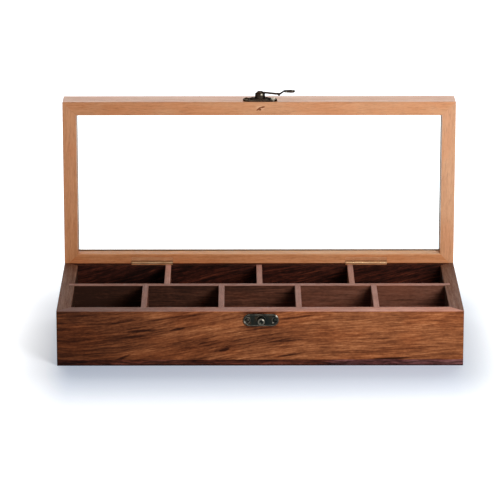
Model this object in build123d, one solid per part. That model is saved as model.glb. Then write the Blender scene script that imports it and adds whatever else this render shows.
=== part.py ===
from build123d import *
import os

# A wooden spice box with nine compartments, a hinged lid with a glass window and a swing latch.
# Millimetres. X runs along the front, Y to the back and Z up. The origin is the centre of the
# underside. The lid is drawn closed, where its sizes are easiest to follow, and is then swung
# open about the hinge pins until its bevel meets the bevel of the box, as the photograph shows it.

# The box
LENGTH = 360.0
DEPTH = 157.0
WALL = 12.5                 # walls of the box, and rails of the lid seen from above
WALL_HEIGHT = 45.0
BOTTOM = 5.5                # the board under the walls
OUTER_ROUND = 1.0           # rounding of the outer upright edges and of the lid's top
SEAM_ROUND = 0.5            # rounding of the outer edges that meet at the seam
ARRIS = 0.4                 # the sharp edge that sandpaper takes off

# The dividers
LONG_DIVIDER = 6.0          # thickness
LONG_DIVIDER_Y = 5.0        # its middle, behind the middle of the box
LONG_TONGUE = 5.0           # how far its ends go into the side walls
CROSS_DIVIDER = 5.2
CROSS_TONGUE = 3.0          # into the front or back wall
CROSS_HOUSING = 1.5         # into the long divider
REAR_PITCH = 83.9           # middle to middle of the rear cross dividers
FRONT_PITCH = 68.8
REAR_COUNT = 3
FRONT_COUNT = 4

# The lid
LID_THICKNESS = 25.0
LIP = 12.0                  # depth of the inner lip, from the seam to the pane
REBATE = 6.5                # width of the step that the pane lies on
PANE = 3.0
PANE_PLAY = 0.5             # room round the pane
BEAD = 7.0                  # radius of the quarter round that holds the pane; it shows past the lip
SEAM_GAP = 0.2              # between box and lid when it is closed
STOP_BEVEL = 4.0            # 45 degree bevels that stop the lid when it stands upright

# The butt hinges
HINGE_LENGTH = 38.0
HINGE_X = 99.0              # middle of each hinge from the middle of the box
LEAF_REACH = 5.2            # pin axis to the leaf's free edge
LEAF = 0.9
KNUCKLE_COUNT = 5
BARREL_RADIUS = 1.6
PIN_RADIUS = 0.8
PIN_CHAMFER = 0.2
RUNNING_PLAY = 0.06         # pin to the knuckles of the lid's leaf
TIGHT_PLAY = 0.02           # pin to the knuckles of the box's leaf
KNUCKLE_PLAY = 0.15         # knuckle to knuckle, and knuckle to the other leaf
BARREL_ROOM = 0.3           # wood cleared round the barrel
LEAF_ROOM = 0.1             # wood cleared round the leaf's edges
LEAF_SCREW_X = 12.0         # screws from the middle of the hinge
LEAF_SCREW_HEAD = 1.35
LEAF_SCREW_SHANK = 0.75
LEAF_SCREW_LENGTH = 7.0
LEAF_SCREW_TURN = 40.0      # each slot stands this much further round than the last

# The latch: two alike plates, on the lid's front rail and on the front wall
LATCH_X = 0.8               # the real one sits a little right of the middle
LATCH_RISE = 5.7            # lid plate's middle above the seam
CATCH_DROP = 8.1            # catch plate's middle below the seam
PLATE_LENGTH = 31.2
PLATE_WIDTH = 11.0
PLATE = 1.6
PLATE_RIM = 1.0
PLATE_SINK = 0.5            # depth of the field inside the rim
PLATE_ROUND = 0.4
PLATE_SCREW_X = 12.3
PLATE_SCREW_HEAD = 2.4
PLATE_SCREW_SHANK = 1.1
PLATE_SCREW_LENGTH = 9.0
PLATE_SCREW_DOME = 1.3
PLATE_SCREW_TURNS = (25.0, 75.0)
SCREW_BOSS = 2.9
MIDDLE_BOSS_LENGTH = 18.6
MIDDLE_BOSS_WIDTH = 8.6
MIDDLE_BOSS = 2.6           # height above the wood
MIDDLE_BOSS_ROUND = 0.8
PIVOT_RADIUS = 1.5
PIVOT_HEAD_RADIUS = 2.9
HUB_RADIUS = 4.6
HUB_TOP = 7.4
HUB_ROUND = 1.1
HUB_PLAY = 0.1
POST_NECK = 1.9
POST_HEAD_RADIUS = 3.15
POST_BOSS_RADIUS = 4.2
PIVOT_HEAD_FROM = 7.5       # underside of the pivot's head above the wood
POST_HEAD_FROM = 6.7        # and of the post's
STUD_HEAD = 1.2
STUD_HEAD_ROUND = 0.7
STUD_DEPTH = 4.0            # pivot and post go this far into the wood
STUD_DISH = 0.6             # the hollow in their heads is this share of the head's radius
ARM_LENGTH = 32.0           # pivot to the end of the finger tab
ARM_WIDTH = 2.6
ARM = 1.4
ARM_HIGH = 6.7              # middle of the strip above the wood, at the hub
ARM_LOW = 5.6               # and at the hook, under the post's head
ARM_BEND = 2.0              # radius of the strip's bends
TAB_HIGH = 8.4
TAB_RADIUS = 3.5
TAB_LENGTH = 10.0
TAB_SHOULDER = 2.6          # radius of the smaller round where the strip meets the tab
TAB_HOLE = 1.1
HOOK_WIDTH = 2.2
HOOK_PLAY = 0.25            # hook to the neck of the post

# Slots of all screws, as shares of the head's radius
SLOT_WIDTH = 0.28
SLOT_DEPTH = 0.3

# Worked out from the above
SEAM_Z = BOTTOM + WALL_HEIGHT
LID_Z = SEAM_Z + SEAM_GAP
LID_TOP = LID_Z + LID_THICKNESS
HALF_L = LENGTH / 2
HALF_D = DEPTH / 2
INNER_L = HALF_L - WALL
INNER_D = HALF_D - WALL
PIN_Y = HALF_D - STOP_BEVEL
PIN_Z = SEAM_Z + SEAM_GAP / 2
LONG_FRONT = LONG_DIVIDER_Y - LONG_DIVIDER / 2
LONG_BACK = LONG_DIVIDER_Y + LONG_DIVIDER / 2
PANE_Z = LID_Z + LIP
BEAD_Z = PANE_Z + PANE
STEP_L = INNER_L + REBATE
STEP_D = INNER_D + REBATE
LEAF_SCREW_Y = PIN_Y - (LEAF_REACH + BARREL_RADIUS) / 2
BOX_SIDE = -1               # the box's leaf lies below the pin's middle
LID_SIDE = 1                # and the lid's above it
BEYOND = 1.0                # how far a cutter stands out of what it cuts
NEAR = 1e-4                 # edges are picked by place to within this


def block(low, high):
    """A box between two opposite corners."""
    size = [b - a for a, b in zip(low, high)]
    return Pos(*low) * Box(*size, align=Align.MIN)


def bar_x(radius, x0, x1, y, z):
    """A round bar along X."""
    return Pos((x0 + x1) / 2, y, z) * Rot(0, 90, 0) * Cylinder(radius, x1 - x0)


def edges_at(shape, axis, **where):
    """The straight edges along an axis whose middle has the given coordinates, or their negatives."""
    found = shape.edges().filter_by(axis)
    for name, value in where.items():
        found = [e for e in found if abs(abs(getattr(e.center(), name)) - abs(value)) < NEAR]
    return found


def level_edges(shape, z):
    """The edges that lie wholly at height z."""
    return [e for e in shape.edges().filter_by(Plane.XY) if abs(e.center().Z - z) < NEAR]


def mitred(ring, z0, z1):
    """A ring cut along its four 45 degree mitres: front, back, left and right members."""
    far_x = HALF_L + BEYOND
    far_y = HALF_D + BEYOND
    ridge = HALF_L - HALF_D
    plans = {
        "front": [(-far_x, -far_y), (far_x, -far_y), (ridge, 0), (-ridge, 0)],
        "back": [(far_x, far_y), (-far_x, far_y), (-ridge, 0), (ridge, 0)],
        "left": [(-far_x, far_y), (-far_x, -far_y), (-ridge, 0)],
        "right": [(far_x, -far_y), (far_x, far_y), (ridge, 0)],
    }
    members = {}
    for side, plan in plans.items():
        wedge = Pos(0, 0, z0 - BEYOND) * extrude(Polygon(*plan), amount=z1 - z0 + 2 * BEYOND)
        members[side] = ring & wedge
    return members


def solid_ring(z0, z1, seam_z):
    """The outside of box or lid: rounded uprights, the back's stop bevel and soft seam edges."""
    ring = block((-HALF_L, -HALF_D, z0), (HALF_L, HALF_D, z1))
    ring = chamfer([e for e in edges_at(ring, Axis.X, Y=HALF_D, Z=seam_z) if e.center().Y > 0], STOP_BEVEL)
    ring = fillet(edges_at(ring, Axis.Z, X=HALF_L, Y=HALF_D), OUTER_ROUND)
    return fillet([e for e in level_edges(ring, seam_z) if e.center().Y < PIN_Y - NEAR], SEAM_ROUND)


def hinge_clearance(x, side):
    """What one hinge needs cut away: the leaf's seat, below or above the pin, and the barrel's trough."""
    face_z = PIN_Z + side * SEAM_GAP / 2
    low_z, high_z = sorted((face_z - side * BEYOND, face_z + side * LEAF))
    half = HINGE_LENGTH / 2 + LEAF_ROOM
    seat = block((x - half, PIN_Y - LEAF_REACH - LEAF_ROOM, low_z), (x + half, PIN_Y, high_z))
    return seat + bar_x(BARREL_RADIUS + BARREL_ROOM, x - half - LEAF_ROOM, x + half + LEAF_ROOM, PIN_Y, PIN_Z)


def rear_places():
    """X of the rear cross dividers."""
    return [(i - (REAR_COUNT - 1) / 2) * REAR_PITCH for i in range(REAR_COUNT)]


def front_places():
    """X of the front cross dividers."""
    return [(i - (FRONT_COUNT - 1) / 2) * FRONT_PITCH for i in range(FRONT_COUNT)]


def cross_slot(x, y0, y1):
    """The room that a cross divider takes between y0 and y1, open at the top."""
    half = CROSS_DIVIDER / 2
    return block((x - half, y0, BOTTOM), (x + half, y1, SEAM_Z + BEYOND))


def box_walls():
    """The four walls of the box, with the grooves for the dividers and the seats for the hinges."""
    ring = solid_ring(BOTTOM, SEAM_Z, SEAM_Z)
    ring -= block((-INNER_L, -INNER_D, 0), (INNER_L, INNER_D, SEAM_Z + BEYOND))
    inner_rim = [e for e in level_edges(ring, SEAM_Z)
                 if abs(e.center().X) < INNER_L + NEAR and abs(e.center().Y) < INNER_D + NEAR]
    ring = chamfer(inner_rim, ARRIS)
    reach = INNER_L + LONG_TONGUE
    ring -= block((-reach, LONG_FRONT, 0), (reach, LONG_BACK, SEAM_Z + BEYOND))
    for x in rear_places():
        ring -= cross_slot(x, LONG_BACK, INNER_D + CROSS_TONGUE)
    for x in front_places():
        ring -= cross_slot(x, -INNER_D - CROSS_TONGUE, LONG_FRONT)
    for x in (-HINGE_X, HINGE_X):
        ring -= hinge_clearance(x, BOX_SIDE)
    return mitred(ring, BOTTOM, SEAM_Z)


def bottom_panel():
    """The board under the walls."""
    panel = block((-HALF_L, -HALF_D, 0), (HALF_L, HALF_D, BOTTOM))
    return fillet(edges_at(panel, Axis.Z, X=HALF_L, Y=HALF_D), OUTER_ROUND)


def board(low, high, along):
    """A thin board with its two long upper edges taken off."""
    shape = block(low, high)
    return chamfer(shape.edges().filter_by(along).group_by(Axis.Z)[-1], ARRIS)


def dividers():
    """The long divider, housed for the cross dividers, and the cross dividers."""
    reach = INNER_L + LONG_TONGUE
    long_board = board((-reach, LONG_FRONT, BOTTOM), (reach, LONG_BACK, SEAM_Z), Axis.X)
    rows = (("rear", rear_places(), LONG_BACK - CROSS_HOUSING, INNER_D + CROSS_TONGUE),
            ("front", front_places(), -INNER_D - CROSS_TONGUE, LONG_FRONT + CROSS_HOUSING))
    half = CROSS_DIVIDER / 2
    nodes = {}
    for row, places, y0, y1 in rows:
        for number, x in enumerate(places, 1):
            cross_board = board((x - half, y0, BOTTOM), (x + half, y1, SEAM_Z), Axis.Y)
            nodes[f"{row}_divider_{number}"] = cross_board
            long_board -= cross_slot(x, y0, y1)
    nodes["long_divider"] = long_board
    return nodes


def lid_rails():
    """The four mitred rails of the lid, stepped inside for the pane."""
    ring = solid_ring(LID_Z, LID_TOP, LID_Z)
    ring = fillet(level_edges(ring, LID_TOP), OUTER_ROUND)
    ring -= block((-INNER_L, -INNER_D, SEAM_Z), (INNER_L, INNER_D, LID_TOP + BEYOND))
    ring -= block((-STEP_L, -STEP_D, PANE_Z), (STEP_L, STEP_D, LID_TOP + BEYOND))
    for x in (-HINGE_X, HINGE_X):
        ring -= hinge_clearance(x, LID_SIDE)
    return mitred(ring, LID_Z, LID_TOP)


def pane():
    """The glass, loose in its step by the play."""
    half_l = STEP_L - PANE_PLAY
    half_d = STEP_D - PANE_PLAY
    return block((-half_l, -half_d, PANE_Z), (half_l, half_d, BEAD_Z))


def beads():
    """Quarter-round beads in the step, on top of the pane, mitred like the rails."""
    upright = Rot(90, 0, 0) * Cylinder(BEAD, 2 * STEP_D)
    rounds = {
        "front": bar_x(BEAD, -STEP_L, STEP_L, -STEP_D, BEAD_Z),
        "back": bar_x(BEAD, -STEP_L, STEP_L, STEP_D, BEAD_Z),
        "left": Pos(-STEP_L, 0, BEAD_Z) * upright,
        "right": Pos(STEP_L, 0, BEAD_Z) * upright,
    }
    room = block((-STEP_L, -STEP_D, BEAD_Z), (STEP_L, STEP_D, LID_TOP))
    return {side: mitred(bar & room, BEAD_Z, LID_TOP)[side] for side, bar in rounds.items()}


def hinge_leaf(x, side, first, play):
    """One leaf with its knuckles, every other one from number first, bored for the pin."""
    half = HINGE_LENGTH / 2
    pitch = HINGE_LENGTH / KNUCKLE_COUNT
    end_play = KNUCKLE_PLAY / 2
    face_z = PIN_Z + side * SEAM_GAP / 2
    low_z, high_z = sorted((face_z, face_z + side * LEAF))
    leaf = block((x - half, PIN_Y - LEAF_REACH, low_z), (x + half, PIN_Y, high_z))
    leaf = fillet(leaf.edges().filter_by(Axis.Z).group_by(Axis.Y)[0], LEAF)
    for number in range(KNUCKLE_COUNT):
        start = x - half + number * pitch
        stop = start + pitch
        if number % 2 == first:
            start += end_play if number > 0 else 0
            stop -= end_play if number < KNUCKLE_COUNT - 1 else 0
            leaf += bar_x(BARREL_RADIUS, start, stop, PIN_Y, PIN_Z)
        else:
            leaf -= bar_x(BARREL_RADIUS + KNUCKLE_PLAY, start - end_play, stop + end_play, PIN_Y, PIN_Z)
    return leaf - bar_x(PIN_RADIUS + play, x - half - BEYOND, x + half + BEYOND, PIN_Y, PIN_Z)


def hinge_pin(x):
    """The pin of one hinge, its ends taken off a little."""
    pin = bar_x(PIN_RADIUS, x - HINGE_LENGTH / 2, x + HINGE_LENGTH / 2, PIN_Y, PIN_Z)
    return chamfer(pin.edges().filter_by(GeomType.CIRCLE), PIN_CHAMFER)


def leaf_screw_blank(plane):
    """A countersunk screw without its slot, its head flush with the plane."""
    head, shank, length = LEAF_SCREW_HEAD, LEAF_SCREW_SHANK, LEAF_SCREW_LENGTH
    profile = Polygon((0, 0), (head, 0), (shank, shank - head), (shank, shank - length), (0, -length))
    return plane * revolve(Plane.XZ * profile, Axis.Z)


def plate_screw_blank(plane):
    """A round-headed screw without its slot, its head standing on the plane."""
    head, dome = PLATE_SCREW_HEAD, PLATE_SCREW_DOME
    shaft = Pos(0, 0, -PLATE_SCREW_LENGTH / 2) * Cylinder(PLATE_SCREW_SHANK, PLATE_SCREW_LENGTH)
    ball_radius = (head**2 + dome**2) / (2 * dome)
    ball = Pos(0, 0, dome - ball_radius) * Sphere(ball_radius)
    cap = ball & Pos(0, 0, dome) * Cylinder(head, 2 * dome)
    return plane * (cap + shaft)


def slotted(screw, plane, turn, radius, top):
    """A screw with a slot across the top of its head."""
    slot = Box(2 * (radius + BEYOND), SLOT_WIDTH * radius, 2 * SLOT_DEPTH * radius)
    return screw - plane * Rot(0, 0, turn) * Pos(0, 0, top) * slot


def fit_hinges(walls, rails, fixed, swinging):
    """Adds both hinges to the fixed and swinging nodes, and bores their screw holes in the wood."""
    screws = {"box": [], "lid": []}
    for hand, x in (("left", -HINGE_X), ("right", HINGE_X)):
        leaves = {
            "box": hinge_leaf(x, BOX_SIDE, 0, TIGHT_PLAY),
            "lid": hinge_leaf(x, LID_SIDE, 1, RUNNING_PLAY),
        }
        for screw_x in (x - LEAF_SCREW_X, x + LEAF_SCREW_X):
            down = Plane(origin=(screw_x, LEAF_SCREW_Y, SEAM_Z))
            up = Plane(origin=(screw_x, LEAF_SCREW_Y, LID_Z), z_dir=(0, 0, -1))
            for plane, leaf, wood in ((down, "box", walls), (up, "lid", rails)):
                blank = leaf_screw_blank(plane)
                leaves[leaf] -= blank
                wood["back"] -= blank
                turn = LEAF_SCREW_TURN * len(screws[leaf])
                screws[leaf].append(slotted(blank, plane, turn, LEAF_SCREW_HEAD, 0))
        fixed[f"{hand}_hinge_box_leaf"] = leaves["box"]
        fixed[f"{hand}_hinge_pin"] = hinge_pin(x)
        swinging[f"{hand}_hinge_lid_leaf"] = leaves["lid"]
    fixed["hinge_box_screws"] = Compound(screws["box"])
    swinging["hinge_lid_screws"] = Compound(screws["lid"])


def front_plane(z):
    """The plane of the front at height z, facing the reader, on the latch's middle line."""
    return Plane(origin=(LATCH_X, -HALF_D, z), x_dir=(1, 0, 0), z_dir=(0, -1, 0))


def latch_plate():
    """A cast plate with a rim and round bosses for its screws."""
    shape = extrude(SlotOverall(PLATE_LENGTH, PLATE_WIDTH), PLATE)
    shape = fillet(shape.edges().group_by(Axis.Z)[-1], PLATE_ROUND)
    field = SlotOverall(PLATE_LENGTH - 2 * PLATE_RIM, PLATE_WIDTH - 2 * PLATE_RIM)
    shape -= Pos(0, 0, PLATE - PLATE_SINK) * extrude(field, PLATE_SINK + BEYOND)
    for x in (-PLATE_SCREW_X, PLATE_SCREW_X):
        shape += Pos(x, 0, PLATE / 2) * Cylinder(SCREW_BOSS, PLATE)
    return shape


def long_boss():
    """The raised middle of the lid's plate, under the arm's hub."""
    boss = extrude(SlotOverall(MIDDLE_BOSS_LENGTH, MIDDLE_BOSS_WIDTH), MIDDLE_BOSS)
    return fillet(boss.edges().group_by(Axis.Z)[-1], MIDDLE_BOSS_ROUND)


def round_boss():
    """The raised middle of the catch's plate, round the post."""
    return Pos(0, 0, MIDDLE_BOSS / 2) * Cylinder(POST_BOSS_RADIUS, MIDDLE_BOSS)


def headed_stud(neck, head_radius, head_from):
    """A stud from inside the wood to a rounded head with a shallow round hollow."""
    top = head_from + STUD_HEAD
    shaft = Pos(0, 0, (head_from - STUD_DEPTH) / 2) * Cylinder(neck, head_from + STUD_DEPTH)
    head = Pos(0, 0, top - STUD_HEAD / 2) * Cylinder(head_radius, STUD_HEAD)
    head = fillet(head.edges().group_by(Axis.Z)[-1], STUD_HEAD_ROUND)
    ball = Sphere(head_radius)
    dish_rise = head_radius * (1 - (1 - STUD_DISH ** 2) ** 0.5)
    return shaft + head - Pos(0, 0, top - dish_rise + head_radius) * ball


def latch_arm():
    """The swinging arm: a hub, a strip that dips under the post's head, a hook and a finger tab.

    The strip runs along X. It lies above the line from pivot to post, and the hook reaches across.
    """
    hook_at = LATCH_RISE + SEAM_GAP + CATCH_DROP + POST_NECK + HOOK_PLAY
    hook_end = hook_at + HOOK_WIDTH
    strip_low = POST_NECK + HOOK_PLAY
    strip_high = strip_low + ARM_WIDTH
    tab_x = ARM_LENGTH - TAB_RADIUS
    tab_y = ARM_WIDTH / 2
    strip = Polygon((0, 0), (HUB_RADIUS / 2, strip_low), (hook_end, strip_low), (hook_end, strip_high),
                    (hook_at, strip_high), (0, HUB_RADIUS))
    hook_middle = Pos(hook_at + HOOK_WIDTH / 2, (strip_high - POST_NECK) / 2)
    hook = hook_middle * SlotOverall(strip_high + POST_NECK, HOOK_WIDTH, rotation=90)
    link = Polygon((hook_at, strip_high), (hook_end - ARM_WIDTH / 2, strip_low),
                   (tab_x, tab_y - ARM_WIDTH / 2), (tab_x, tab_y + ARM_WIDTH / 2))
    tab_start = ARM_LENGTH - TAB_LENGTH
    rounds = [Pos(tab_x, tab_y) * Circle(TAB_RADIUS), Pos(tab_start + TAB_SHOULDER, tab_y) * Circle(TAB_SHOULDER)]
    tab = make_hull([circle.edge() for circle in rounds])
    plan = extrude(strip + hook + link + tab, TAB_HIGH + 2 * ARM)

    middle = [(0, ARM_HIGH), (HUB_RADIUS, ARM_HIGH), (hook_at - POST_NECK, ARM_LOW), (hook_end, ARM_LOW),
              (tab_start, TAB_HIGH), (ARM_LENGTH + BEYOND, TAB_HIGH)]
    upper = FilletPolyline(*[(x, h + ARM / 2) for x, h in middle], radius=ARM_BEND)
    lower = FilletPolyline(*[(x, h - ARM / 2) for x, h in middle], radius=ARM_BEND)
    side = make_face([upper, lower, Line(upper @ 0, lower @ 0), Line(upper @ 1, lower @ 1)])
    ribbon = extrude(Plane.XZ * side, amount=ARM_LENGTH, both=True)

    hub_low = MIDDLE_BOSS + HUB_PLAY
    hub = Pos(0, 0, (hub_low + HUB_TOP) / 2) * Cylinder(HUB_RADIUS, HUB_TOP - hub_low)
    hub = fillet(hub.edges().group_by(Axis.Z)[-1], HUB_ROUND)
    arm = (plan & ribbon) + hub
    arm -= Cylinder(PIVOT_RADIUS + RUNNING_PLAY, 2 * (HUB_TOP + BEYOND))
    return arm - Pos(tab_x, tab_y) * Cylinder(TAB_HOLE, 2 * (TAB_HIGH + ARM))


def fit_latch(walls, rails, fixed, swinging):
    """Adds both halves of the latch, let into the front wall and the lid's front rail."""
    catch_post = headed_stud(POST_NECK, POST_HEAD_RADIUS, POST_HEAD_FROM)
    latch_pivot = headed_stud(PIVOT_RADIUS, PIVOT_HEAD_RADIUS, PIVOT_HEAD_FROM)
    halves = (("catch", SEAM_Z - CATCH_DROP, round_boss(), "catch_post", catch_post, walls, fixed),
              ("latch", LID_Z + LATCH_RISE, long_boss(), "latch_pivot", latch_pivot, rails, swinging))
    for name, z, boss, stud_name, stud, wood, nodes in halves:
        front = front_plane(z)
        stud = front * stud
        plate = front * (latch_plate() + boss) - stud
        wood["front"] -= stud
        screws = []
        for x, turn in zip((-PLATE_SCREW_X, PLATE_SCREW_X), PLATE_SCREW_TURNS):
            seat = front * Plane(origin=(x, 0, PLATE))
            blank = plate_screw_blank(seat)
            plate -= blank
            wood["front"] -= blank
            screws.append(slotted(blank, seat, turn, PLATE_SCREW_HEAD, PLATE_SCREW_DOME))
        nodes[f"{name}_plate"] = plate
        nodes[f"{name}_screws"] = Compound(screws)
        nodes[stud_name] = stud
    swinging["latch_arm"] = front_plane(LID_Z + LATCH_RISE) * latch_arm()


def swung_open(shape):
    """A lid piece turned from the closed lid to the upright lid, about the hinge pins."""
    return Pos(0, PIN_Y, PIN_Z) * Rot(-90, 0, 0) * Pos(0, -PIN_Y, -PIN_Z) * shape


def build():
    """Every node of the open box, by name."""
    walls = box_walls()
    rails = lid_rails()
    fixed = {"bottom_panel": bottom_panel(), **dividers()}
    swinging = {"lid_window": pane()}
    for side, bead in beads().items():
        swinging[f"bead_{side}"] = bead
    fit_hinges(walls, rails, fixed, swinging)
    fit_latch(walls, rails, fixed, swinging)
    for side in ("front", "back", "left", "right"):
        fixed[f"{side}_wall"] = walls[side]
        member = "rail" if side in ("front", "back") else "stile"
        swinging[f"lid_{side}_{member}"] = rails[side]
    return fixed | {name: swung_open(shape) for name, shape in swinging.items()}


os.makedirs("parts", exist_ok=True)
for node, shape in build().items():
    export_step(shape, f"parts/{node}.step")
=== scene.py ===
import math

import bpy
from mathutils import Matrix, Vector

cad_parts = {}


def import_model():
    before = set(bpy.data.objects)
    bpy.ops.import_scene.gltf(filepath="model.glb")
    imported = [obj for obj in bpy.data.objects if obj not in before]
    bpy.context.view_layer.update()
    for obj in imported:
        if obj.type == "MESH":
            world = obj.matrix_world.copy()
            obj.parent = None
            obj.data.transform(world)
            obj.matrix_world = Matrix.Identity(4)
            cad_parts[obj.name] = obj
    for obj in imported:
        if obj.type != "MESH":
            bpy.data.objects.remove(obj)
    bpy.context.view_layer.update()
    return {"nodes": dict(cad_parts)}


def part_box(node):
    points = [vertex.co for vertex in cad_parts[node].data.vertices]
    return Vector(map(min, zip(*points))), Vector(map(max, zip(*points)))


# The looks of a wooden spice box with a glass lid: woods, glass, brass and bronze, a pale floor,
# soft studio light and the photograph's camera. Metres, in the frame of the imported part.

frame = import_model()
NODES = frame["nodes"]

# The camera, as fitted to the corners of the box in the photograph
PHOTO_SIDE = 500
FOCAL_PIXELS = 3348
SENSOR = 36.0
CAMERA_PITCH = 15.83
CAMERA_YAW = 0.225
CAMERA_AT = (-0.0201, -2.9054, 0.908)

WALL_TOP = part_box("front_wall")[1].z


def linear(red, green, blue):
    """A colour given as it looks on the screen, 0 to 255, in the linear values that shaders take."""
    def one(value):
        value /= 255
        return value / 12.92 if value <= 0.04045 else ((value + 0.055) / 1.055) ** 2.4
    return (one(red), one(green), one(blue), 1.0)


class Shader:
    """A material on one Principled surface, wired by short calls that take sockets or plain values."""

    def __init__(self, name):
        self.material = bpy.data.materials.new(name)
        self.material.use_nodes = True
        self.nodes = self.material.node_tree.nodes
        self.links = self.material.node_tree.links
        self.surface = self.nodes["Principled BSDF"]

    def put(self, socket, value):
        if isinstance(value, bpy.types.NodeSocket):
            self.links.new(value, socket)
        elif value is not None:
            socket.default_value = value

    def set(self, **inputs):
        """Sets inputs of the surface, named with _ for a space."""
        for name, value in inputs.items():
            self.put(self.surface.inputs[name.replace("_", " ")], value)

    def math(self, operation, a, b=None, c=None, clamp=False):
        node = self.nodes.new("ShaderNodeMath")
        node.operation = operation
        node.use_clamp = clamp
        for socket, value in zip(node.inputs, (a, b, c)):
            self.put(socket, value)
        return node.outputs[0]

    def add(self, a, b):
        return self.math("ADD", a, b)

    def times(self, a, b):
        return self.math("MULTIPLY", a, b)

    def less(self, a, b):
        return self.math("SUBTRACT", a, b)

    def length(self, a, b):
        """The length of a line that reaches a in one direction and b across it."""
        return self.math("SQRT", self.add(self.times(a, a), self.times(b, b)))

    def smooth(self, value, low, high, to_low=0.0, to_high=1.0):
        """A value mapped from low..high to a smooth 0..1, or to the two given ends."""
        node = self.nodes.new("ShaderNodeMapRange")
        node.interpolation_type = "SMOOTHSTEP"
        for socket, given in zip(node.inputs, (value, low, high, to_low, to_high)):
            self.put(socket, given)
        return node.outputs[0]

    def vector(self, x, y, z):
        node = self.nodes.new("ShaderNodeCombineXYZ")
        for socket, value in zip(node.inputs, (x, y, z)):
            self.put(socket, value)
        return node.outputs[0]

    def noise(self, vector, scale=1.0, detail=4.0, roughness=0.55):
        node = self.nodes.new("ShaderNodeTexNoise")
        self.put(node.inputs["Vector"], vector)
        self.put(node.inputs["Scale"], scale)
        self.put(node.inputs["Detail"], detail)
        self.put(node.inputs["Roughness"], roughness)
        return node.outputs["Fac"]

    def ramp(self, value, *stops):
        """A colour ramp from (position, colour) stops."""
        node = self.nodes.new("ShaderNodeValToRGB")
        elements = node.color_ramp.elements
        while len(elements) < len(stops):
            elements.new(0.5)
        for element, (position, colour) in zip(elements, stops):
            element.position = position
            element.color = colour
        self.put(node.inputs[0], value)
        return node.outputs[0]

    def tones(self, value, tones):
        """A ramp through evenly spaced tones, given as they look on the screen."""
        last = len(tones) - 1
        return self.ramp(value, *[(i / last, linear(*tone)) for i, tone in enumerate(tones)])

    def mix(self, share, a, b, blend="MIX"):
        """Colour a with a share of colour b."""
        node = self.nodes.new("ShaderNodeMix")
        node.data_type = "RGBA"
        node.blend_type = blend
        colour_a, colour_b = [i for i in node.inputs if i.type == "RGBA"]
        self.put(node.inputs["Factor"], share)
        self.put(colour_a, a)
        self.put(colour_b, b)
        return [o for o in node.outputs if o.type == "RGBA"][0]

    def place(self):
        """X, Y and Z of the point on the object, in metres, which stay with it when it moves."""
        place = self.nodes.new("ShaderNodeTexCoord").outputs["Object"]
        split = self.nodes.new("ShaderNodeSeparateXYZ")
        self.put(split.inputs[0], place)
        return split.outputs[0], split.outputs[1], split.outputs[2]

    def rounded(self, radius):
        """The normal of a surface whose edges are rounded by the given radius."""
        bevel = self.nodes.new("ShaderNodeBevel")
        bevel.samples = 4
        bevel.inputs["Radius"].default_value = radius
        return bevel.outputs[0]

    def edge_wear(self, rounded):
        """0 on flat faces, up to 1 where the rounded normal leaves the real one."""
        normal = self.nodes.new("ShaderNodeNewGeometry").outputs["Normal"]
        dot = self.nodes.new("ShaderNodeVectorMath")
        dot.operation = "DOT_PRODUCT"
        self.put(dot.inputs[0], rounded)
        self.put(dot.inputs[1], normal)
        return self.smooth(dot.outputs["Value"], 0.98, 0.75)

    def near(self, point, reach):
        """1 at a point of the object, falling to 0 at the given reach."""
        place = self.nodes.new("ShaderNodeTexCoord").outputs["Object"]
        distance = self.nodes.new("ShaderNodeVectorMath")
        distance.operation = "DISTANCE"
        self.put(distance.inputs[0], place)
        self.put(distance.inputs[1], point)
        return self.smooth(distance.outputs["Value"], reach, reach * 0.3)

    def bump(self, height, distance, strength, rounded=None):
        """Relief on the surface, over its rounded normal where one is given."""
        node = self.nodes.new("ShaderNodeBump")
        self.put(node.inputs["Height"], height)
        self.put(node.inputs["Distance"], distance)
        self.put(node.inputs["Strength"], strength)
        self.put(node.inputs["Normal"], rounded)
        self.set(Normal=node.outputs[0])


# Woods: tones from the darkest streak to the lightest band

FRONT_TONES = ((46, 22, 13), (82, 44, 26), (117, 67, 40), (150, 92, 57), (186, 126, 84))
# The back wall's tones inside the box: painted shade, far darker than the wood's own colour
BACK_SHADED_TONES = ((10, 5, 4), (27, 12, 9), (43, 20, 15), (66, 31, 22), (90, 46, 32))
OUTSIDE_TONES = ((52, 26, 16), (84, 46, 29), (112, 64, 41), (138, 83, 54), (164, 106, 72))
SIDE_TONES = ((60, 33, 23), (84, 52, 37), (104, 69, 52), (120, 84, 66), (138, 102, 84))
DIVIDER_TONES = ((46, 27, 20), (72, 43, 32), (100, 62, 48), (118, 77, 61), (136, 92, 75))
BOTTOM_TONES = ((30, 12, 9), (58, 28, 20), (78, 40, 29), (96, 52, 40), (112, 62, 49))
PURPLE_TONES = ((50, 26, 28), (92, 56, 60), (124, 86, 90))
LID_TONES = ((160, 98, 56), (180, 118, 75), (198, 138, 94), (209, 151, 107), (219, 165, 121))
FRONT_RAIL_TONES = ((124, 70, 38), (188, 128, 87), (204, 147, 106), (216, 163, 124), (228, 180, 142))
# The right stile's tones: the lid's, lighter and less saturated, as painted light on the side nearer the
# lamp
RIGHT_STILE_LIT_TONES = ((164, 108, 70), (184, 129, 90), (202, 149, 110), (212, 162, 124), (222, 175, 138))
BACK_RAIL_TONES = ((158, 95, 58), (178, 113, 72), (197, 133, 90), (212, 154, 112), (228, 176, 136))
# The tone of the painted sheen and light on the upper edges
TOP_SHEEN_TONE = (190, 140, 125)
REDDER = (1.0, 0.86, 0.76, 1.0)

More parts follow.
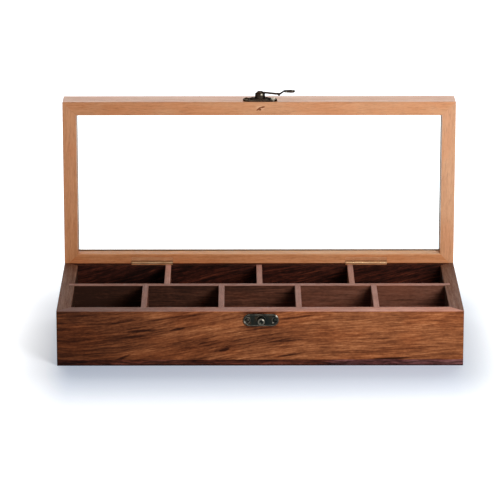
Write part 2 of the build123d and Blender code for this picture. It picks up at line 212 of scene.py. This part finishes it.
# Where one tone of a board gives way to another, as a pair of distances over which it does so: the
# painted sheen and light on the upper edges, below the top of the walls; the painted shade on the
# inner faces, inside the side walls and below their top; the painted shade inside the back wall,
# from its outside; the painted light on the lid's lip, from its edge
TOP_SHEEN_FADE = (0.0007, 0.0003)
INNER_SHADE_FADE = (0.0012, 0.0006)
INNER_SHADE_BELOW = (0.0004, 0.0010)
BACK_SHADE_FADE = (0.006, 0.005)
LIP_LIGHT_FADE = (0.0008, 0.0004)

# Heights on the bottom board: its dark streak, from above and from below, and the painted contact shadow
# along its foot
STREAK_ABOVE = (0.0050, 0.0036)
STREAK_BELOW = (0.0020, 0.0032)
FOOT_SHADOW_FADE = (0.0016, 0.0008)


def board_place(shader, along, shift):
    """Coordinates on a board: u along its grain, v and w across, moved so that boards differ."""
    x, y, z = shader.place()
    u, v, w = {"X": (x, z, y), "Y": (y, z, x), "Z": (z, x, y)}[along]
    return shader.add(u, shift[0]), shader.add(v, shift[1]), shader.add(w, shift[2])


def stretched(shader, place, along, across, **settings):
    """Noise on a board's (u, v, w), so many features a metre along the grain and across it."""
    u, v, w = place
    vector = shader.vector(shader.times(u, along), shader.times(v, across), shader.times(w, across))
    return shader.noise(vector, **settings)


def wood(name, tones, along, shift, contrast=1.0, rise=0.0, wander=0.004, sweep=None, shade=None,
         calm=None, marks=(), tint=None, ior=1.1, rough=0.5, level=0.52):
    """A board's wood: bands, streaks, fibres and pores that run along it and wander a little.

    rise is the slope of the grain, sweep a (from, to, height) over which it climbs, shade a
    (from, to, tone) towards whose start the board darkens, and calm a (from, to, share) towards
    whose start only that share of the contrast is left. shade follows the photograph, so part of
    it is that picture's light and not the colour of the wood, and ior is set for its sheen.
    """
    s = Shader(name)
    u, v, w = board_place(s, along, shift)
    x, y, z = s.place()
    drift = stretched(s, (u, v, w), 6, 16, detail=2.0)
    ripple = stretched(s, (u, v, w), 34, 60, detail=1.0)
    bent = s.add(s.less(v, s.times(u, rise)), s.times(s.less(drift, 0.5), wander * 2))
    bent = s.add(bent, s.times(s.less(ripple, 0.5), wander * 0.4))
    if sweep:
        bent = s.less(bent, s.smooth(x, sweep[0], sweep[1], 0.0, sweep[2]))
    place = (u, bent, w)
    bands = stretched(s, place, 5, 60, detail=3.0)
    mottle = stretched(s, place, 40, 110, detail=2.0)
    lines = stretched(s, place, 14, 340, detail=4.0, roughness=0.65)
    grain = stretched(s, place, 66, 780, detail=3.0, roughness=0.65)
    flecks = stretched(s, place, 300, 600, detail=2.0)
    fibres = stretched(s, place, 60, 2200, detail=2.0, roughness=0.6)
    threads = s.math("ABSOLUTE", s.less(stretched(s, place, 10, 300, detail=3.0), 0.5))
    pores = stretched(s, place, 150, 3400, detail=1.0)
    layers = ((bands, 0.65), (mottle, 0.6), (lines, 1.25), (grain, 1.8), (flecks, 0.7), (fibres, 0.8))
    mixed = 0.0
    for layer, strength in layers:
        mixed = s.add(mixed, s.times(s.less(layer, 0.5), strength))
    threads = s.times(s.smooth(threads, 0.03, 0.0), s.smooth(bands, 0.6, 0.35, 0.08, 0.40))
    figure = s.times(s.less(mixed, threads), contrast)
    if calm:
        figure = s.times(figure, s.smooth(x, calm[0], calm[1], calm[2], 1.0))
    tone = s.add(figure, level)
    for mark in marks:
        tone = s.add(tone, placed_streak(s, x, z, *mark, ragged=lines))
    if shade:
        tone = s.add(tone, s.smooth({"X": x, "Y": y, "Z": z}[along], shade[0], shade[1], shade[2], 0.0))
    colour = s.tones(tone, tones)
    if tint:
        colour = tint(s, (x, y, z), tone, colour)
    hue = stretched(s, (u, v, w), 18, 46, detail=2.0)
    colour = s.mix(s.smooth(hue, 0.42, 0.62, 0.0, 0.6), colour, REDDER, "MULTIPLY")
    pore_mask = s.smooth(pores, 0.60, 0.70)
    colour = s.mix(s.times(pore_mask, 0.35), colour, linear(*[c * 0.6 for c in tones[0]]))
    s.set(Base_Color=colour, Roughness=s.smooth(lines, 0.3, 0.7, rough + 0.08, rough - 0.05), IOR=ior)
    relief = s.less(s.add(s.times(fibres, 0.6), s.times(grain, 0.4)), s.times(pore_mask, 0.5))
    s.bump(relief, 0.00025, 0.35, s.rounded(0.0005))
    return s.material


def placed_streak(s, x, z, at_x, at_z, length, width, slope, strength, ragged):
    """A soft streak round a point of a face that looks along Y, dark where strength is below 0."""
    du = s.less(x, at_x)
    across = s.times(s.less(s.less(z, at_z), s.times(du, slope)), 1 / width)
    along = s.times(du, 1 / length)
    far = s.add(s.times(along, along), s.times(across, across))
    far = s.add(far, s.times(s.less(ragged, 0.5), 1.4))
    return s.smooth(far, 1.1, 0.0, 0.0, strength)


def give(material, *names):
    """Puts a material on CAD nodes."""
    for name in names:
        node = NODES[name]
        node.data.materials.clear()
        node.data.materials.append(material)


# Marks in the wood, placed after the photograph, in mm: from the left edge, below the top
# edge, length and width; then slope and strength

FRONT_MARKS = (
    (34, 12, 36, 1.4, 0.05, -0.20),
    (60, 9.5, 13, 1.7, 0.12, -0.42),
    (75, 18.5, 17, 1.7, 0.08, -0.42),
    (66, 24, 16, 1.8, 0.12, -0.30),
    (107, 16.5, 8, 1.5, 0.22, -0.50),
    (112, 5, 40, 1.3, 0.13, -0.30),
    (90, 4, 20, 4.0, 0.05, 0.18),
    (72, 37, 24, 4.0, 0.22, 0.18),
    (58, 43, 12, 1.5, 0.45, -0.40),
    (148, 36, 5, 1.4, 0.22, -0.65),
    (135, 30, 40, 10.0, 0.10, -0.17),
    (186, 24, 34, 12.0, 0.05, -0.13),
    (158, 43, 26, 4.0, 0.10, 0.08),
    (204, 27, 20, 1.3, 0.10, -0.34),
    (210, 6, 26, 1.3, 0.12, -0.40),
    (280, 26, 18, 1.2, 0.05, -0.35),
    (206, 40.5, 16, 1.1, 0.14, -0.42),
    (292, 44.5, 26, 1.4, 0.06, -0.80),
    (290, 12, 60, 7.0, 0.00, 0.08),
    (345, 46, 26, 1.4, -0.02, -0.40),
    (181, 15.0, 22, 2.2, 0.0, -0.30),
    (181, 1.6, 22, 1.4, 0.0, -0.30),
)
KNOT_MARKS = (
    (180.8, 5.8, 4.8, 2.6, 0.0, 0.35),
    (179.4, 6.4, 2.4, 1.1, 0.6, -3.2),
    (182.8, 5.0, 2.1, 0.9, 0.2, -2.8),
    (180.6, 7.0, 1.3, 1.2, 0.0, -2.8),
)


def marks_on(node, marks):
    """Marks of a node's front, placed in metres."""
    low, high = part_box(node)
    return [(low.x + from_left / 1000, high.z - below / 1000, length / 1000, width / 1000, slope, strength)
            for from_left, below, length, width, slope, strength in marks]


def purple_patch(s, place, tone, colour):
    """The bottom board: a painted contact shadow along its foot, a dark wavy streak and purplish heartwood
    at the right.
    """
    x, y, z = place
    wave = s.less(s.noise(s.vector(s.times(x, 22), 0.0, 0.0), detail=2.0), 0.5)
    share = s.smooth(s.add(x, s.times(wave, 0.10)), 0.055, 0.105)
    colour = s.mix(s.times(share, 0.75), colour, s.tones(tone, PURPLE_TONES))
    wavy = s.add(z, s.times(wave, 0.012))
    streak = s.times(s.smooth(wavy, *STREAK_ABOVE), s.smooth(wavy, *STREAK_BELOW))
    # Painted contact shadow along the foot
    foot_shadow = s.smooth(z, *FOOT_SHADOW_FADE)
    dark = s.math("MAXIMUM", s.times(streak, 0.55), s.times(foot_shadow, 0.8))
    return s.mix(dark, colour, linear(24, 13, 14))


def painted_top_sheen(at_left, at_right):
    """A tint for upper edges, paler and pinkish: painted sheen and painted light on the tops, which face
    the lamp above.

    at_left and at_right are how pale the edge is at the two ends of the box: painted light, paler
    towards the right.
    """
    def tint(s, place, tone, colour):
        x, y, z = place
        top = s.smooth(z, WALL_TOP - TOP_SHEEN_FADE[0], WALL_TOP - TOP_SHEEN_FADE[1])
        dull = linear(*[c * 0.86 for c in TOP_SHEEN_TONE])
        pale = s.mix(s.smooth(tone, 0.2, 0.9), dull, linear(*TOP_SHEEN_TONE))
        # Painted light: the edge is paler towards the right, where the light is stronger
        level = s.smooth(x, -0.20, 0.20, at_left, at_right)
        pale = s.mix(1.0, pale, s.vector(level, level, level), "MULTIPLY")
        return s.mix(s.times(top, 0.8), colour, pale)
    return tint


def painted_inner_shade(s, place, tone, colour):
    """Painted shade: the side walls are darker inside the box than on their tops and outsides."""
    x, y, z = place
    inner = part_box("right_wall")[0].x
    inside = s.smooth(s.math("ABSOLUTE", x), inner + INNER_SHADE_FADE[0], inner + INNER_SHADE_FADE[1])
    inside = s.times(inside, s.smooth(z, WALL_TOP - INNER_SHADE_BELOW[0], WALL_TOP - INNER_SHADE_BELOW[1]))
    return s.mix(s.times(inside, 0.85), colour, linear(26, 13, 9))


def pale_outside(s, place, tone, colour):
    """The back wall is as pale as the front on its outside; inside the box its dark tones are painted
    shade.
    """
    x, y, z = place
    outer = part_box("back_wall")[1].y
    outside = s.smooth(y, outer - BACK_SHADE_FADE[0], outer - BACK_SHADE_FADE[1])
    return s.mix(outside, colour, s.tones(tone, OUTSIDE_TONES))


def painted_lip_light(s, place, tone, colour):
    """Painted light: the up-facing lip of the lid's back rail is paler than its face, more so towards the
    right.
    """
    x, y, z = place
    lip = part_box("lid_back_rail")[1].z
    edge = s.smooth(z, lip - LIP_LIGHT_FADE[0], lip - LIP_LIGHT_FADE[1])
    # Painted light, paler towards the right, where the light is stronger
    share = s.times(edge, s.smooth(x, -0.15, 0.15, 0.30, 0.55))
    pale = s.mix(s.smooth(x, -0.15, 0.10), linear(228, 160, 96), linear(234, 180, 130))
    return s.mix(share, colour, pale)


def box_woods():
    """Every wall, divider and the bottom board, each from its own piece of wood."""
    # Painted shade: the front darkens towards the left; its top edge carries painted sheen and light
    front = wood("front_wood", FRONT_TONES, "X", (0.0, 0.0, 0.0), contrast=0.60, rise=0.03, wander=0.003,
                 sweep=(-0.17, 0.06, 0.026), shade=(-0.20, -0.02, -0.38), calm=(-0.15, -0.04, 0.78),
                 marks=marks_on("front_wall", FRONT_MARKS), tint=painted_top_sheen(0.50, 1.52), level=0.59)
    # The back wall's inside: painted shade, darker still towards the left
    back = wood("back_wood", BACK_SHADED_TONES, "X", (0.7, 0.3, 0.2), contrast=0.82, rise=0.22, wander=0.006,
                shade=(-0.17, 0.03, -0.12), tint=pale_outside, level=0.58)
    # The side walls' inner faces carry painted shade
    left = wood("left_wood", SIDE_TONES, "Y", (0.2, 0.9, 0.4), contrast=0.6, rise=0.01,
                tint=painted_inner_shade)
    right = wood("right_wood", SIDE_TONES, "Y", (1.2, 0.5, 0.9), contrast=0.6, rise=0.01,
                 tint=painted_inner_shade, level=0.6)
    bottom = wood("bottom_board_wood", BOTTOM_TONES, "X", (0.4, 1.1, 0.3), contrast=1.2, wander=0.006,
                  tint=purple_patch)
    # Painted shade: the long divider darkens towards the left; its top carries painted sheen and light
    divider = wood("long_divider_wood", DIVIDER_TONES, "X", (2.1, 0.2, 0.6), contrast=0.45,
                   shade=(-0.19, 0.13, -0.58), tint=painted_top_sheen(1.05, 1.2))
    give(front, "front_wall")
    give(back, "back_wall")
    give(left, "left_wall")
    give(right, "right_wall")
    give(bottom, "bottom_panel")
    give(divider, "long_divider")
    for row, count in (("rear", 3), ("front", 4)):
        for number in range(1, count + 1):
            shift = (0.31 * number, 0.17 * number + (row == "rear"), 0.23 * number)
            node = f"{row}_divider_{number}"
            # Painted sheen and light on the dividers' tops, at levels that follow the light along the box
            top = painted_top_sheen(1.25, 1.08) if row == "rear" else painted_top_sheen(0.78, 1.22)
            give(wood(f"{node}_wood", DIVIDER_TONES, "Y", shift, contrast=0.5, tint=top), node)


def lid_woods():
    """The rails, stiles and beads of the lid, of one light wood.

    A board is its node, the direction of its grain, its shift, tones, shade and index of refraction.
    """
    level = (-0.20, 0.12, -0.25)
    upright = (0.05, 0.20, -0.10)
    boards = (
        ("lid_front_rail", "X", (0.0, 0.4, 0.0), FRONT_RAIL_TONES, (-0.20, 0.12, -0.20), 1.23),
        ("lid_back_rail", "X", (0.9, 0.1, 0.5), BACK_RAIL_TONES, level, 1.12),
        ("lid_left_stile", "Z", (0.3, 0.8, 0.2), LID_TONES, (0.05, 0.40, -0.22), 1.45),
        ("lid_right_stile", "Z", (1.4, 0.6, 0.7), RIGHT_STILE_LIT_TONES, upright, 1.45),
        ("bead_front", "X", (0.5, 1.4, 0.0), LID_TONES, level, 1.3),
        ("bead_back", "X", (1.9, 1.1, 0.5), LID_TONES, level, 1.3),
        ("bead_left", "Z", (1.3, 0.2, 1.2), LID_TONES, upright, 1.3),
        ("bead_right", "Z", (0.4, 1.6, 1.7), LID_TONES, upright, 1.3),
    )
    for node, along, shift, tones, shade, ior in boards:
        marks = marks_on(node, KNOT_MARKS) if node == "lid_front_rail" else ()
        tint = painted_lip_light if node == "lid_back_rail" else None
        board = wood(f"{node}_wood", tones, along, shift, contrast=0.31, rise=0.02, wander=0.003,
                     shade=shade, marks=marks, tint=tint, ior=ior, rough=0.34)
        give(board, node)


def glass():
    """Clear window glass."""
    s = Shader("window_glass")
    x, y, z = s.place()
    smears = s.noise(s.vector(x, y, z), scale=18.0, detail=3.0)
    s.set(Base_Color=linear(250, 254, 252), Transmission_Weight=1.0, IOR=1.5)
    s.set(Roughness=s.smooth(smears, 0.45, 0.75, 0.0, 0.02))
    return s.material


# From the axis of the hinge pins: the barrel's surface and where the leaves begin
BARREL_RADIUS = 0.0016
LEAF_FROM = 0.0019


def brass():
    """Aged brass: dull pinkish leaves, painted shade on the leaf by the barrel and under the barrel, which
    is rubbed bright and duller at the left, partly tarnish and partly painted shade.
    """
    s = Shader("hinge_brass")
    x, y, z = s.place()
    low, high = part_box("left_hinge_pin")
    across = s.less(y, (low.y + high.y) / 2)
    above = s.less(z, (low.z + high.z) / 2)
    from_pin = s.length(across, above)
    leaf = s.smooth(from_pin, BARREL_RADIUS, LEAF_FROM)
    blotches = s.noise(s.vector(s.times(x, 120), s.times(y, 400), s.times(z, 400)), detail=4.0)
    grain = s.noise(s.vector(s.times(x, 300), s.times(y, 4000), s.times(z, 4000)), detail=2.0)
    rounded = s.rounded(0.00025)
    dull = s.ramp(blotches, (0.35, linear(184, 124, 82)), (0.65, linear(208, 146, 102)))
    bright = s.ramp(blotches, (0.35, linear(176, 136, 98)), (0.65, linear(222, 186, 146)))
    colour = s.mix(leaf, bright, dull)
    # Painted shade on the leaf next to the barrel
    corner_shade = s.times(leaf, s.smooth(from_pin, 0.0032, 0.0022))
    colour = s.mix(s.times(corner_shade, 0.6), colour, linear(96, 62, 36))
    # Painted shade on the lower side of the barrel
    barrel_underside_shade = s.times(s.less(1.0, leaf), s.smooth(above, 0.0006, -0.0002))
    colour = s.mix(s.times(s.edge_wear(rounded), 0.7), colour, linear(226, 190, 148))
    colour = s.mix(s.times(barrel_underside_shade, 0.85), colour, linear(58, 46, 26))
    # Duller at the left: partly tarnish, partly painted shade where the light is weaker
    tarnish_and_shade_at_left = s.times(s.less(1.0, leaf), s.smooth(x, -0.06, 0.06, 0.45, 0.0))
    colour = s.mix(tarnish_and_shade_at_left, colour, linear(92, 62, 38))
    s.set(Base_Color=colour, Metallic=s.smooth(leaf, 0.0, 1.0, 1.0, 0.5))
    s.set(Roughness=s.add(s.smooth(blotches, 0.3, 0.7, 0.24, 0.16), s.times(leaf, 0.2)))
    s.bump(grain, 0.00005, 0.3, rounded)
    return s.material


# Heights above the wood: the rubbed rim of a plate, as it begins and ends, and the post's head
RIM_FROM = (0.00135, 0.00155)
RIM_TO = (0.0018, 0.00165)
HEAD_FROM = (0.0066, 0.0070)

# Patinas, greenish on the catch and brown on the latch: three tones, and their places on the noise
PATINA_STOPS = (0.3, 0.5, 0.75)
CATCH_PATINA = ((20, 27, 27), (32, 33, 29), (58, 43, 30))
LATCH_PATINA = ((28, 24, 21), (44, 36, 30), (76, 56, 41))


def bronze(name, tones, height, glints=(), ring=None):
    """Antique bronze: a dark patina of three tones, rubbed to pale metal on edges where hands and parts
    touch it, with spots of pale metal that are painted highlights.

    height gives the height above the wood, in metres, from y and z. The fourth argument holds painted
    highlights, spots turned pale bare metal, as (point, reach, strength), and ring the middle and
    radius of a stud's head whose rim is rubbed.
    """
    s = Shader(name)
    x, y, z = s.place()
    high = height(s, y, z)
    blotches = s.noise(s.vector(x, y, z), scale=160.0, detail=3.0)
    pits = s.noise(s.vector(x, y, z), scale=2200.0, detail=2.0)
    rounded = s.rounded(0.0003)
    rim = s.times(s.smooth(high, *RIM_FROM), s.smooth(high, *RIM_TO))
    edges = s.math("MAXIMUM", s.edge_wear(rounded), s.times(rim, 0.5))
    rubbed = s.times(edges, s.smooth(blotches, 0.35, 0.65, 0.03, 0.30))
    glint = 0.0
    # Painted highlights: spots turned pale bare metal, less metallic so that the lamps light them
    for point, reach, strength in glints:
        glint = s.math("MAXIMUM", glint, s.times(s.near(point, reach), strength))
    rubbed = s.math("MAXIMUM", rubbed, glint)
    if ring:
        (middle_x, middle_z), radius = ring
        out = s.length(s.less(x, middle_x), s.less(z, middle_z))
        head = s.times(s.smooth(high, *HEAD_FROM), s.smooth(out, radius * 0.45, radius * 0.85))
        rubbed = s.math("MAXIMUM", rubbed, s.times(head, 0.16))
    patina = s.ramp(blotches, *[(stop, linear(*tone)) for stop, tone in zip(PATINA_STOPS, tones)])
    colour = s.mix(rubbed, patina, linear(214, 204, 184))
    s.set(Base_Color=colour, Metallic=s.smooth(glint, 0.0, 1.0, 1.0, 0.45))
    s.set(Specular_Tint=s.mix(glint, (0.3, 0.3, 0.3, 1.0), (1.0, 1.0, 1.0, 1.0)))
    s.set(Roughness=s.smooth(blotches, 0.3, 0.8, 0.36, 0.24))
    s.bump(s.add(s.times(blotches, 0.4), s.times(pits, 0.2)), 0.00004, 0.3, rounded)
    return s.material


# Painted highlights, as spots of the bronze turned pale bare metal, on the post's neck partly also
# rubbed wear, placed where the photograph has highlights, in mm: from the pivot or the post to the
# right, up the photograph and off the wood; then reach and strength

CATCH_GLINTS = (
    (-14.4, -1.6, 1.6, 1.6, 0.42),
    (14.0, 3.8, 1.4, 1.7, 0.55),
    (10.4, -2.4, 1.8, 1.2, 0.50),
)
POST_GLINTS = (
    (1.8, 1.3, 4.8, 2.0, 1.0),
    (1.9, 2.2, 7.9, 1.5, 0.5),
)
LATCH_GLINTS = (
    (1.6, -4.0, 6.6, 1.5, 0.42),
    (12.0, -1.2, 2.6, 3.4, 1.0),
    (12.6, -5.2, 1.0, 1.2, 0.25),
    (29.6, 0.4, 9.1, 1.1, 0.60),
    (24.0, -1.0, 7.9, 1.3, 0.45),
)


def glint_spots(node, spots, place):
    """Painted highlight spots placed in metres round the middle of a stud; place turns a spot's mm into a
    direction.
    """
    low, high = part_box(node)
    middle = (low + high) / 2
    return [(tuple(place(middle, Vector(spot[:3]) / 1000)), spot[3] / 1000, spot[4]) for spot in spots]


def dress():
    """Every CAD node's material."""
    box_woods()
    lid_woods()
    give(glass(), "lid_window")
    give(brass(), *[name for name in NODES if "hinge" in name])
    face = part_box("front_wall")[0].y
    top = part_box("lid_front_rail")[1].z

    def on_wall(middle, spot):
        return Vector((middle.x + spot.x, face - spot.z, middle.z + spot.y))

    def on_lid(middle, spot):
        return Vector((middle.x + spot.x, middle.y + spot.y, top + spot.z))

    def off_wall(s, y, z):
        return s.less(face, y)

    def off_lid(s, y, z):
        return s.less(z, top)

    low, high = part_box("catch_post")
    ring = (((low.x + high.x) / 2, (low.z + high.z) / 2), (high.x - low.x) / 2)
    give(bronze("catch_bronze", CATCH_PATINA, off_wall, glint_spots("catch_post", CATCH_GLINTS, on_wall)),
         "catch_plate", "catch_screws")
    give(bronze("post_bronze", CATCH_PATINA, off_wall, glint_spots("catch_post", POST_GLINTS, on_wall), ring),
         "catch_post")
    give(bronze("latch_bronze", LATCH_PATINA, off_lid, glint_spots("latch_pivot", LATCH_GLINTS, on_lid)),
         *[name for name in NODES if name.startswith("latch_")])


def seen(tree):
    """1 for what the camera sees, straight, mirrored or through glass, and 0 for other light."""
    path = tree.nodes.new("ShaderNodeLightPath")
    share = path.outputs["Is Camera Ray"]
    for name in ("Is Glossy Ray", "Is Transmission Ray"):
        larger = tree.nodes.new("ShaderNodeMath")
        larger.operation = "MAXIMUM"
        tree.links.new(share, larger.inputs[0])
        tree.links.new(path.outputs[name], larger.inputs[1])
        share = larger.outputs[0]
    return share


SKY_LIGHT = 0.16

# The floor's own light near the box, before and beside it, lowered there as a painted shadow, and how far
# from the box it is all white
FOOT_SHADOW_GLOW = (0.16, 0.20, 0.27, 1.0)
LEFT_SHADOW_GLOW = (0.42, 0.43, 0.45, 1.0)
RIGHT_SHADOW_GLOW = (0.26, 0.29, 0.32, 1.0)
WHITE_BEFORE = 0.23
WHITE_BESIDE = 0.072


def floor():
    """A pale floor with a soft bluish shadow round the box, partly cast by the lamps and partly painted
    shadow in its own light, which fades to white further off.
    """
    half = 6.0
    corners = [(-half, -half, 0), (half, -half, 0), (half, half, 0), (-half, half, 0)]
    mesh = bpy.data.meshes.new("floor")
    mesh.from_pydata(corners, [], [(0, 1, 2, 3)])
    plane = bpy.data.objects.new("floor", mesh)
    bpy.context.scene.collection.objects.link(plane)
    s = Shader("floor_paper")
    x, y, z = s.place()
    paper = s.noise(s.vector(x, y, z), scale=900.0, detail=2.0)
    shades = s.ramp(paper, (0.3, linear(192, 195, 200)), (0.7, linear(197, 200, 205)))
    s.set(Base_Color=shades, Roughness=0.9)
    low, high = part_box("bottom_panel")
    beside = s.less(s.math("ABSOLUTE", x), high.x)
    before = s.less(s.math("ABSOLUTE", y), high.y)
    side = s.mix(s.smooth(x, -0.05, 0.05), LEFT_SHADOW_GLOW, RIGHT_SHADOW_GLOW)
    # Painted shadow: the floor's own light is weaker near the box
    near = s.mix(s.smooth(beside, -0.015, 0.015), FOOT_SHADOW_GLOW, side)
    beside = s.times(s.math("MAXIMUM", beside, 0.0), 1 / WHITE_BESIDE)
    before = s.times(s.math("MAXIMUM", before, 0.0), 1 / WHITE_BEFORE)
    away = s.length(beside, before)
    s.set(Emission_Color=s.mix(s.smooth(away, 0.0, 1.0), near, (1, 1, 1, 1)))
    s.set(Emission_Strength=seen(s.material.node_tree))
    plane.data.materials.append(s.material)


def world():
    """White for what the camera sees, and a plain soft light for the object."""
    sky = bpy.data.worlds.new("studio")
    bpy.context.scene.world = sky
    sky.use_nodes = True
    tree = sky.node_tree
    background = tree.nodes["Background"]
    background.inputs["Color"].default_value = (1, 1, 1, 1)
    level = tree.nodes.new("ShaderNodeMapRange")
    level.inputs["To Min"].default_value = SKY_LIGHT
    level.inputs["To Max"].default_value = 1.0
    tree.links.new(seen(tree), level.inputs["Value"])
    tree.links.new(level.outputs[0], background.inputs["Strength"])


def lamp(name, at, target, power, width, height):
    """A soft rectangular lamp that looks at a target."""
    data = bpy.data.lights.new(name, "AREA")
    data.shape = "RECTANGLE"
    data.size = width
    data.size_y = height
    data.energy = power
    light = bpy.data.objects.new(name, data)
    light.location = at
    light.rotation_euler = (Vector(target) - Vector(at)).to_track_quat("-Z", "Y").to_euler()
    bpy.context.scene.collection.objects.link(light)


def studio():
    """The lamps: one near and low on the right, which falls off to the left, and one above and behind.

    The one above is large, because a smaller one of the same power hid half of the shut glass from the
    front behind its reflection. This one still veils that glass in grey, and seen low from behind on
    the left, the right lamp's reflection hides part of it.
    """
    middle = (0.0, 0.0, 0.10)
    lamp("right_lamp", (0.56, -0.95, 0.47), middle, 12.5, 0.5, 0.4)
    lamp("top_lamp", (0.1, 1.4, 1.15), middle, 23.0, 2.4, 1.6)


def camera():
    """The photograph's view."""
    data = bpy.data.cameras.new("camera")
    data.sensor_width = SENSOR
    data.lens = SENSOR * FOCAL_PIXELS / PHOTO_SIDE
    view = bpy.data.objects.new("camera", data)
    view.location = CAMERA_AT
    view.rotation_euler = (math.radians(90 - CAMERA_PITCH), 0.0, math.radians(-CAMERA_YAW))
    bpy.context.scene.collection.objects.link(view)
    bpy.context.scene.camera = view


dress()
floor()
world()
studio()
camera()
bpy.context.scene.view_settings.view_transform = "Standard"
